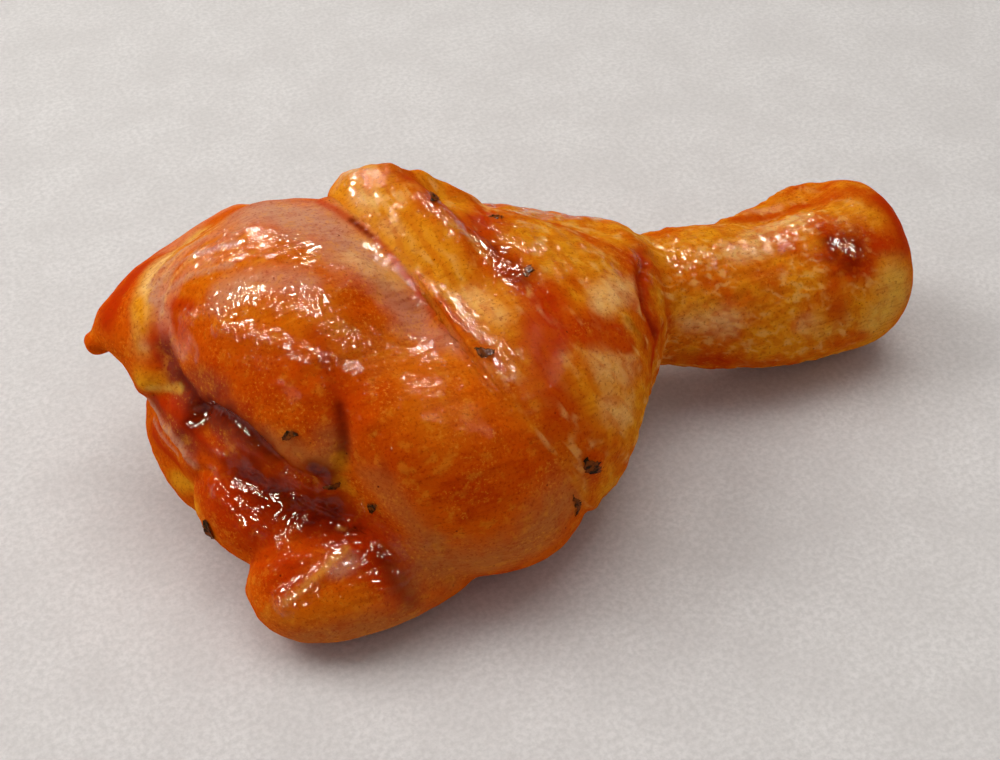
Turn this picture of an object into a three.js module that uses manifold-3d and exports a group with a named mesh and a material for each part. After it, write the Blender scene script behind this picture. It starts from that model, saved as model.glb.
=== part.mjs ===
// A raw, marinated chicken drumstick, lying on its side.
//
// The knuckle points along +X and the cut knee end along -X. Bare muscle shows at the knee end, and a
// sleeve of skin covers the calf, the shank and the knuckle. It is one solid: every muscle, fold and
// herb flake is drawn as a closed shape of its own and then joined to the rest. The origin is in the
// middle of the surface that it lies on.

import * as THREE from 'three';
import { mergeVertices } from 'three/addons/utils/BufferGeometryUtils.js';
import Module from 'manifold-3d';

const wasm = await Module();
wasm.setup();

// Driving dimensions, in millimetres.
const LENGTH = 136; // cut end to knuckle
const WIDTH = 64; // across the meat
const HEIGHT = 50; // of the meat above the surface it lies on
const FLAKE_THICKNESS = 1; // of a herb flake, half of it sunk in the surface

// One place along a muscle. along runs from -1 at the cut end to 1 at the knuckle, across from -1 at the
// front to 1 at the back, and up from 0 at the resting surface to 1 at the top of the meat. wide and high
// are the muscle's half sizes there, as shares of half the drumstick's width and height.
const station = (along, across, up, wide, high = wide) => ({
	centre: new THREE.Vector3((along * LENGTH) / 2, (across * WIDTH) / 2, up * HEIGHT),
	size: new THREE.Vector3((wide * WIDTH) / 2, (high * HEIGHT) / 2, 0),
});

// A cosine or sine pushed outwards, so that it draws a fuller curve than a circle where power is under 1.
const squared = (wave, power) => Math.sign(wave) * Math.pow(Math.abs(wave), power);

// A closed, rounded body drawn out through its stations: a sphere whose poles are the first and the last.
// blunt is how square its ends are: 2 is an ellipsoid, and more keeps the full section closer to the
// ends. full is the shape of its sections: 1 is an ellipse, and less is squarer. The sections face along
// the middle line, or all in one direction where facing gives it. relief(t, angle) raises the surface by
// so many millimetres at a place along and around it.
function belly(stations, { blunt = 2.4, full = 1, facing, relief, round = 24, steps = 20 } = {}) {
	const middle = new THREE.CatmullRomCurve3(stations.map((s) => s.centre));
	const sizes = new THREE.CatmullRomCurve3(stations.map((s) => s.size));
	const geometry = new THREE.SphereGeometry(1, round, steps);
	const position = geometry.getAttribute('position');
	const p = new THREE.Vector3();
	for (let i = 0; i < position.count; i++) {
		p.fromBufferAttribute(position, i);
		const t = Math.acos(THREE.MathUtils.clamp(p.y, -1, 1)) / Math.PI;
		const angle = Math.atan2(p.z, p.x);
		const cap = Math.sqrt(1 - Math.pow(Math.abs(2 * t - 1), blunt));
		const raised = relief ? relief(t, angle) * cap : 0;
		const point = middle.getPoint(t);
		const size = sizes.getPoint(t);
		const ahead = facing ?? middle.getTangent(t);
		const side = new THREE.Vector3(0, 0, 1).cross(ahead).normalize();
		const top = ahead.clone().cross(side);
		point.addScaledVector(side, squared(Math.cos(angle), full) * (size.x * cap + raised));
		point.addScaledVector(top, squared(Math.sin(angle), full) * (size.y * cap + raised));
		position.setXYZ(i, point.x, point.y, point.z);
	}
	return geometry;
}

// A closed geometry as a manifold-3d solid.
function solid(geometry) {
	const bare = new THREE.BufferGeometry()
		.setAttribute('position', geometry.getAttribute('position'))
		.setIndex(geometry.getIndex());
	const merged = mergeVertices(bare, 1e-4);
	return new wasm.Manifold(
		new wasm.Mesh({
			numProp: 3,
			vertProperties: merged.getAttribute('position').array,
			triVerts: new Uint32Array(merged.getIndex().array),
		}),
	);
}

// A manifold-3d solid as a geometry.
function surface(body) {
	const mesh = body.getMesh();
	const geometry = new THREE.BufferGeometry()
		.setAttribute('position', new THREE.BufferAttribute(mesh.vertProperties, 3))
		.setIndex(new THREE.BufferAttribute(mesh.triVerts, 1));
	geometry.computeVertexNormals();
	return geometry;
}

const join = (bodies) => bodies.reduce((joined, body) => joined.add(body));

// The bare muscles -------------------------------------------------------------------------------------

// The upper calf muscle, the broad one on top of the knee end.
const upperCalf = belly(
	[
		station(-0.88, 0.46, 0.62, 0.36, 0.36),
		station(-0.76, 0.26, 0.58, 0.66, 0.66),
		station(-0.58, 0.13, 0.575, 0.82, 0.83),
		station(-0.12, 0.24, 0.61, 0.68, 0.64),
	],
	{ blunt: 2.6, facing: new THREE.Vector3(1, -0.06, 0).normalize(), round: 32, steps: 24 },
);

// The front calf muscle, half under the skin.
const frontCalf = belly(
	[
		station(-0.69, -0.22, 0.47, 0.52, 0.68),
		station(-0.54, -0.36, 0.41, 0.62, 0.83),
		station(-0.28, -0.42, 0.36, 0.65, 0.84),
		station(0.04, -0.28, 0.35, 0.46, 0.64),
	],
	{ blunt: 2.5, facing: new THREE.Vector3(1, 0.12, 0.15).normalize(), round: 32, steps: 24 },
);

// The loose strip of meat that lies in front, with a ridge along its top.
const RIDGE_RISE = 1.2; // millimetres
const RIDGE_AROUND = 1.8; // radians from the back, over the top
const RIDGE_SHARPNESS = 12;
const ridge = (t, angle) => RIDGE_RISE * Math.exp(-RIDGE_SHARPNESS * (angle - RIDGE_AROUND) ** 2);
const flap = belly(
	[
		station(-0.85, -0.56, 0.17, 0.26, 0.32),
		station(-0.66, -0.68, 0.175, 0.29, 0.32),
		station(-0.3, -0.68, 0.14, 0.3, 0.28),
	],
	{ relief: ridge, round: 24, steps: 18 },
);

// The small muscle end beside the knee.
const kneeMuscle = belly(
	[
		station(-0.86, 0, 0.28, 0.32, 0.38),
		station(-0.68, -0.24, 0.3, 0.4, 0.46),
		station(-0.46, -0.48, 0.24, 0.34, 0.4),
	],
	{ blunt: 2.8, round: 20, steps: 16 },
);

// The gristle and fat of the cut joint, behind the muscles, and the stub of tendon at its tip.
const joint = belly(
	[
		station(-0.965, 0.64, 0.62, 0.16, 0.16),
		station(-0.84, 0.56, 0.63, 0.37, 0.35),
		station(-0.6, 0.42, 0.62, 0.6, 0.6),
		station(-0.36, 0.38, 0.65, 0.56, 0.56),
	],
	{ round: 22, steps: 16 },
);
const stub = belly([station(-0.985, 0.64, 0.56, 0.06, 0.08), station(-0.9, 0.6, 0.6, 0.07, 0.09)], {
	blunt: 5,
	round: 10,
	steps: 8,
});

// Everything that the visible muscles lie on.
const core = belly(
	[
		station(-0.91, 0.26, 0.36, 0.62, 0.7),
		station(-0.5, 0.14, 0.42, 0.84, 0.87),
		station(0, 0, 0.42, 0.7, 0.7),
		station(0.3, 0, 0.36, 0.34, 0.4),
	],
	{ blunt: 3, round: 32 },
);

// The strip of fat and membrane round the foot of the cut end.
const edgeFat = belly(
	[
		station(-0.84, 0.5, 0.46, 0.2, 0.2),
		station(-0.81, 0.34, 0.32, 0.24, 0.28),
		station(-0.79, 0.1, 0.21, 0.22, 0.26),
		station(-0.78, -0.16, 0.16, 0.16, 0.2),
	],
	{ round: 12, steps: 16 },
);

// The skin ---------------------------------------------------------------------------------------------

// The sleeve over the calf, tapering to the shank.
const sleeve = belly(
	[
		station(-0.7, 0.02, 0.46, 0.9, 0.92),
		station(-0.34, -0.02, 0.44, 0.92, 0.93),
		station(-0.1, -0.1, 0.41, 0.88, 0.88),
		station(0.05, -0.08, 0.39, 0.75, 0.77),
		station(0.17, 0.02, 0.385, 0.53, 0.6),
		station(0.32, 0.11, 0.385, 0.33, 0.46),
	],
	{ blunt: 6, full: 0.94, facing: new THREE.Vector3(1, -0.14, -0.12).normalize(), round: 48, steps: 36 },
);

// The shank and the knuckle.
const shank = belly(
	[
		station(0.1, 0.1, 0.4, 0.3, 0.36),
		station(0.34, 0.08, 0.37, 0.34, 0.46),
		station(0.54, 0.02, 0.31, 0.38, 0.49),
		station(0.7, 0.03, 0.29, 0.43, 0.55),
		station(0.84, 0.06, 0.285, 0.46, 0.58),
		station(0.975, 0.05, 0.28, 0.44, 0.59),
	],
	{ blunt: 8, round: 32, steps: 30 },
);

// The edge of the skin and the cut tendon along the back of the knuckle.
const tendon = belly(
	[
		station(0.46, 0.1, 0.4, 0.1, 0.12),
		station(0.62, 0.24, 0.43, 0.14, 0.16),
		station(0.78, 0.32, 0.45, 0.14, 0.18),
		station(0.9, 0.26, 0.46, 0.12, 0.16),
	],
	{ round: 12, steps: 18 },
);

// The skin ends in a slanting rim, further back on top of the meat than below.
const RIM_ALONG = -0.39;
const RIM_SLANT = 26.5; // degrees
const beyondRim = new THREE.BoxGeometry(LENGTH, 2 * WIDTH, 4 * HEIGHT)
	.translate(-LENGTH / 2, 0, -HEIGHT)
	.rotateY(THREE.MathUtils.degToRad(-RIM_SLANT))
	.translate((RIM_ALONG * LENGTH) / 2, 0, HEIGHT);

// The skin bunched up at the top of the rim, in two folds.
const frontFold = belly(
	[
		station(-0.37, 0.72, 0.8, 0.18, 0.2),
		station(-0.33, 0.5, 0.88, 0.2, 0.22),
		station(-0.29, 0.18, 0.9, 0.18, 0.18),
		station(-0.25, -0.18, 0.83, 0.15, 0.15),
		station(-0.19, -0.46, 0.69, 0.13, 0.13),
		station(-0.1, -0.64, 0.5, 0.08, 0.1),
	],
	{ round: 16, steps: 26 },
);
const backFold = belly(
	[
		station(-0.3, 0.66, 0.78, 0.14, 0.2),
		station(-0.23, 0.5, 0.84, 0.13, 0.15),
		station(-0.06, 0.36, 0.75, 0.14, 0.2),
	],
	{ round: 14, steps: 14 },
);

const skinBodies = [solid(sleeve).subtract(solid(beyondRim))];
skinBodies.push(...[shank, tendon, frontFold, backFold].map(solid));
const skin = join(skinBodies);
const meat = join([upperCalf, frontCalf, flap, kneeMuscle, joint, stub, core, edgeFat].map(solid));

// Its own weight flattens what lies on the surface.
const under = new THREE.BoxGeometry(2 * LENGTH, 2 * WIDTH, HEIGHT).translate(0, 0, -HEIGHT / 2);
const plain = join([skin, meat]).subtract(solid(under));

// Herb flakes ------------------------------------------------------------------------------------------

// Each flake: along from -1 to 1, around in degrees from the back over the top, its length in
// millimetres, and its turn on the surface in degrees from the drumstick's length.
const FLAKES = [
	{ along: -0.23, around: 59, length: 4, turn: 20 },
	{ along: -0.24, around: 78, length: 3, turn: 60 },
	{ along: -0.1, around: 77, length: 2.5, turn: 10 },
	{ along: -0.12, around: 111, length: 3, turn: 50 },
	{ along: -0.3, around: 133, length: 3, turn: 150 },
	{ along: -0.13, around: 173, length: 4.6, turn: 120 },
	{ along: -0.17, around: 184, length: 4.6, turn: 95 },
	{ along: -0.88, around: 211, length: 4, turn: 80 },
	{ along: -0.65, around: 163, length: 2.5, turn: 30 },
	{ along: -0.71, around: 140, length: 2.5, turn: 0 },
	{ along: -0.59, around: 171, length: 2.5, turn: 70 },
	{ along: -0.45, around: 25, length: 3.4, turn: 40 },
	{ along: -0.1, around: 5, length: 3, turn: 130 },
	{ along: 0.2, around: -20, length: 2.6, turn: 80 },
	{ along: -0.7, around: 10, length: 3, turn: 110 },
	{ along: -0.3, around: -25, length: 3.6, turn: 15 },
];
const FLAKE_SLENDER = 0.45; // a flake's width over its length

// A flake lies where a line drawn in to the middle of the drumstick meets its surface.
const plainMesh = new THREE.Mesh(surface(plain));
function flake({ along, around, length, turn }) {
	const middle = new THREE.Vector3((along * LENGTH) / 2, 0, 0.4 * HEIGHT);
	const angle = THREE.MathUtils.degToRad(around);
	const outwards = new THREE.Vector3(0, Math.cos(angle), Math.sin(angle));
	const start = middle.clone().addScaledVector(outwards, LENGTH);
	const [hit] = new THREE.Raycaster(start, outwards.clone().negate()).intersectObject(plainMesh);
	const normal = hit.face.normal;
	const lengthways = new THREE.Vector3(1, 0, 0).projectOnPlane(normal).normalize();
	lengthways.applyAxisAngle(normal, THREE.MathUtils.degToRad(turn));
	const sideways = normal.clone().cross(lengthways);
	return new THREE.SphereGeometry(0.5, 7, 4)
		.scale(length, length * FLAKE_SLENDER, FLAKE_THICKNESS)
		.applyMatrix4(new THREE.Matrix4().makeBasis(lengthways, sideways, normal).setPosition(hit.point));
}

const whole = join([plain, ...FLAKES.map((place) => solid(flake(place)))]);

// The origin goes to the middle of the drumstick's box, on the surface it lies on.
const geometry = surface(whole);
geometry.computeBoundingBox();
const box = geometry.boundingBox;
geometry.translate(-(box.min.x + box.max.x) / 2, -(box.min.y + box.max.y) / 2, -box.min.z);

const drumstick = new THREE.Mesh(
	geometry,
	new THREE.MeshStandardMaterial({ color: 0xb8591c, roughness: 0.3, metalness: 0 }),
);
drumstick.name = 'drumstick';

const part = new THREE.Group();
part.add(drumstick);
export default part;
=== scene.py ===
"""A raw, marinated chicken drumstick on pale paper.

The drumstick's fine surface stands for the CAD solid. It has the same form, with the facets smoothed
away and with folds, fibres, pores and creases raised on it. Its relief and colours follow named
places. A place is (along, around): along runs from -1 at the cut end to 1 at the knuckle, and around is
in degrees, 0 at the back, 90 on top, 180 in front and 270 underneath. On the face of the cut end a place
is (END, back, up), in millimetres from the middle and from the paper.
"""

import math

import bpy
import numpy as np
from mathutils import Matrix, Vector
from mathutils.bvhtree import BVHTree


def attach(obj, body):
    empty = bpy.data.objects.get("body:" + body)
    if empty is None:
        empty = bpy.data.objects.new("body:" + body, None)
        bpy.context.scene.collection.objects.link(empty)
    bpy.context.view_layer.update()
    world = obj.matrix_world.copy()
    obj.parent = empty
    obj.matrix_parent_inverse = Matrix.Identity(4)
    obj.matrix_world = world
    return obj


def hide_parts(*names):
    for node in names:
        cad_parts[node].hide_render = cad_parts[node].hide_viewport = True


MM = 0.001

# Lengths here and below are in millimetres, unless they say otherwise.
HALF_LENGTH = 68.0  # what places along the drumstick are measured in, a little over half of it
AXIS_HEIGHT = 20.0  # of the line that places are measured round
AXIS_REACH = 20.0  # turns an angle round that line into a length
RAY_REACH = 100.0  # how far outside the drumstick the rays to its places start
PATH_STEP = 0.8  # between the points of a path over the surface

# The fine surface and its smoothing.
FINE = 0.42  # its grid
RELAX_ROUNDS = 50  # of smoothing, which take the solid's facets away
FACET, CREASE = 0.12, 0.5  # smoothing moves a facet by less than the first, a crease by the second
HOLLOW_BLUR = 110  # rounds of blur that show how deep a valley is
FILL_ROUNDS = 4  # of raising the shallower valleys

# The slanting plane in which the skin ends: its place at the height of the axis, and its slope.
RIM_X = -11.2
RIM_SLOPE = 0.499
RIM_WANDER = 0.8  # how far the skin's end strays from it
RIM_EDGE = (0.35, 1.1)  # the height and half the width of the skin's edge

# Heights of the relief, and where parts of it lie along the drumstick, from the middle.
UNEVEN_RISE = 0.45
FIBRE_RISE = 0.16
PORE_RISE = 0.26
PORES_FADE = (50, 60)
WRINKLE_RISE = 0.05
ANKLE_WRINKLE_RISE = 0.2
ANKLE_X, ANKLE_HALF_WIDTH = 16, 10

END = "cut end"

scene = bpy.context.scene


# Relief and colour, by place ----------------------------------------------------------------------------

# Valleys that are shallower than in the solid: a reach in millimetres and a path of places.
FILLED = [
    (7.0, [(-0.86, 66), (-0.82, 56), (-0.77, 48), (-0.7, 42)]),
    (4.0, [(-0.86, 100), (-0.84, 120), (-0.8, 140), (-0.74, 155)]),
    (6.0, [(-0.8, 185), (-0.7, 182), (-0.6, 186), (-0.5, 194)]),
    (8.0, [(0.2, 40), (0.24, 60), (0.25, 85), (0.24, 110), (0.21, 130), (0.17, 150)]),
    (9.0, [(-0.53, 122), (-0.47, 121), (-0.42, 122), (-0.37, 123), (-0.33, 121)]),
    (5.0, [(-0.58, 129), (-0.56, 125)]),
    (7.0, [(END, 11, 27), (END, 9, 28)]),
    (5.0, [(-0.41, 62), (-0.38, 73), (-0.36, 84), (-0.35, 94), (-0.33, 107), (-0.31, 119)]),
    (4.0, [(-0.3, 126), (-0.25, 142), (-0.22, 156)]),
    (10.0, [(-0.19, 60), (-0.22, 75), (-0.22, 88), (-0.2, 102), (-0.185, 114), (-0.16, 128)]),
    (6.0, [(-0.2, 56), (-0.14, 60), (-0.08, 64)]),
    (7.0, [(0.56, 24), (0.68, 42), (0.8, 50), (0.9, 50)]),
]

# Ridges and grooves: half a width and a height, both in millimetres, and a path of places.
RIDGES = [
    # The crown of the upper calf.
    (5.5, 1.4, [(-0.54, 52), (-0.48, 55), (-0.43, 60)]),
    (4.5, -0.9, [(-0.7, 44), (-0.63, 48)]),
    (4.5, -0.7, [(-0.86, 38), (-0.8, 37), (-0.76, 38)]),
    # The side of the joint.
    (3.2, 1.8, [(END, 12, 26), (END, 9, 29)]),
    (1.5, 0.8, [(END, 5, 27), (END, 1, 28), (END, -3, 27), (END, -7, 26)]),
    (0.8, 0.5, [(END, 9, 24), (END, 5, 23), (END, 2, 24), (END, -3, 22)]),
    (0.6, 0.3, [(END, 9, 21), (END, 5, 21), (END, 1, 21), (END, -3, 20)]),
    (1.3, -0.8, [(END, 6, 35), (END, 3, 33), (END, 0, 32), (END, -2, 30)]),
    # The band of skin at the rim is nearly flat, and the lump behind it is low.
    (4.0, -0.8, [(-0.35, 66), (-0.33, 80), (-0.31, 90), (-0.29, 100), (-0.27, 112)]),
    (4.5, -1.3, [(-0.14, 50), (-0.07, 52)]),
    (2.4, 0.9, [(-0.27, 58), (-0.21, 58)]),
    (4.5, -1.5, [(0.64, 40), (0.7, 46), (0.75, 50)]),
    (4.0, -1.3, [(0.7, 24), (0.76, 29), (0.8, 32)]),
    (2.6, 1.2, [(0.56, 22), (0.61, 24)]),
    # Strands of membrane over the joint.
    (0.8, 0.3, [(-0.87, 62), (-0.83, 54), (-0.77, 49), (-0.69, 46)]),
    (0.7, 0.25, [(-0.86, 72), (-0.84, 64), (-0.8, 60), (-0.74, 62)]),
    (0.6, 0.25, [(-0.86, 86), (-0.85, 74), (-0.82, 68), (-0.77, 70)]),
    (0.5, 0.2, [(-0.84, 56), (-0.81, 54), (-0.77, 58), (-0.72, 64), (-0.66, 71)]),
    (0.5, 0.2, [(-0.83, 52), (-0.8, 51), (-0.75, 52), (-0.7, 57)]),
    (0.5, 0.2, [(-0.83, 58), (-0.79, 63), (-0.75, 70), (-0.69, 77)]),
    # Fat at the corner of the joint.
    (1.1, 0.4, [(-0.875, 70), (-0.86, 82), (-0.84, 92)]),
    # The bend across the upper calf.
    (1.2, 0.4, [(-0.76, 92), (-0.7, 104), (-0.65, 113), (-0.61, 119)]),
    # The crease below the upper calf, and the furrow to the front calf.
    (1.3, -1.2, [(-0.83, 98), (-0.8, 118), (-0.77, 132), (-0.745, 145), (-0.72, 154), (-0.68, 160)]),
    (0.9, -0.5, [(-0.6, 120), (-0.6, 132), (-0.61, 144), (-0.625, 152)]),
    (0.8, -0.3, [(-0.56, 146), (-0.55, 160), (-0.52, 172), (-0.47, 184)]),
    # The membrane round the foot of the cut end.
    (0.9, 0.4, [(-0.875, 95), (-0.865, 120), (-0.845, 142), (-0.82, 156)]),
    (0.8, 0.4, [(-0.87, 150), (-0.84, 170), (-0.82, 186), (-0.8, 198)]),
    # The edge of the muscle beside the skin.
    (1.2, 0.5, [(-0.45, 90), (-0.41, 98), (-0.37, 104)]),
    (2.2, -0.6, [(-0.42, 102), (-0.39, 108), (-0.37, 112)]),
    # The top of the flap.
    (0.9, 0.3, [(-0.77, 194), (-0.72, 190), (-0.66, 187), (-0.61, 184)]),
    # The crease round the ankle.
    (4.0, 0.8, [(0.23, 44), (0.23, 60), (0.24, 78)]),
    (5.0, -1.5, [(0.06, 60), (0.11, 64), (0.15, 70)]),
    (1.0, -0.5, [(0.22, 98), (0.16, 119), (0.14, 134), (0.165, 151)]),
    (1.0, 0.4, [(0.19, 96), (0.13, 118), (0.11, 134)]),
]

# Curls of thick marinade: half a width and a height, both in millimetres, and a path of places.
CURLS = [
    (0.6, 0.4, [(-0.66, 174), (-0.64, 177), (-0.6, 181)]),
    (0.6, 0.4, [(-0.69, 180), (-0.66, 182), (-0.63, 187), (-0.59, 186)]),
    (0.6, 0.4, [(-0.6, 184), (-0.58, 188), (-0.56, 191), (-0.55, 194)]),
    (0.6, 0.25, [(-0.77, 153), (-0.75, 155), (-0.74, 162), (-0.76, 166)]),
    (0.6, 0.25, [(-0.8, 172), (-0.78, 168), (-0.75, 166)]),
    (0.5, 0.2, [(-0.86, 170), (-0.84, 175), (-0.82, 176)]),
    (0.5, 0.2, [(-0.73, 186), (-0.72, 190)]),
    (0.5, 0.2, [(-0.71, 184), (-0.7, 189)]),
    (0.5, 0.2, [(0.73, 128), (0.745, 134), (0.76, 138)]),
    (0.5, 0.2, [(-0.17, 98), (-0.15, 104), (-0.13, 108)]),
    (0.5, 0.2, [(-0.2, 84), (-0.18, 90), (-0.17, 96)]),
    (0.5, 0.2, [(-0.26, 74), (-0.24, 80), (-0.22, 84)]),
]

# The colours of the surface, on a scale of 0 to 255.
COLOURS = {
    "orange": (206, 84, 4),  # marinated muscle
    "ember": (188, 60, 2),  # where the marinade is thicker
    "red": (180, 44, 3),
    "deep": (88, 10, 3),  # dark red: thick marinade in pools and on the knuckle, and painted shade in creases, furrows and hollows
    # purple is painted shade, laid in the creases and grooves below the upper calf and at the joint
    "purple": (128, 52, 36),
    "amber": (208, 106, 10),
    "gold": (222, 142, 22),  # fat under the film
    "straw": (222, 172, 70),
    "cream": (234, 180, 108),  # fat
    "mauve": (194, 138, 106),  # bare muscle, and a painted grey highlight on the flap and the front calf
    "pink": (212, 128, 88),  # membrane
    "tan": (178, 104, 48),
    # Fine detail.
    "thick film": (174, 46, 2),
    "thin film": (222, 140, 34),
    "between fibres": (160, 46, 2),
    "pale row": (230, 172, 90),
    "between rows": (196, 80, 4),
    "oil": (228, 150, 44),
    "spice": (140, 34, 2),
    "speck": (96, 28, 8),
}

# How thick the marinade lies where it has these colours.
THICK = {"deep": 1.0, "red": 0.6, "ember": 0.2}

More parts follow.
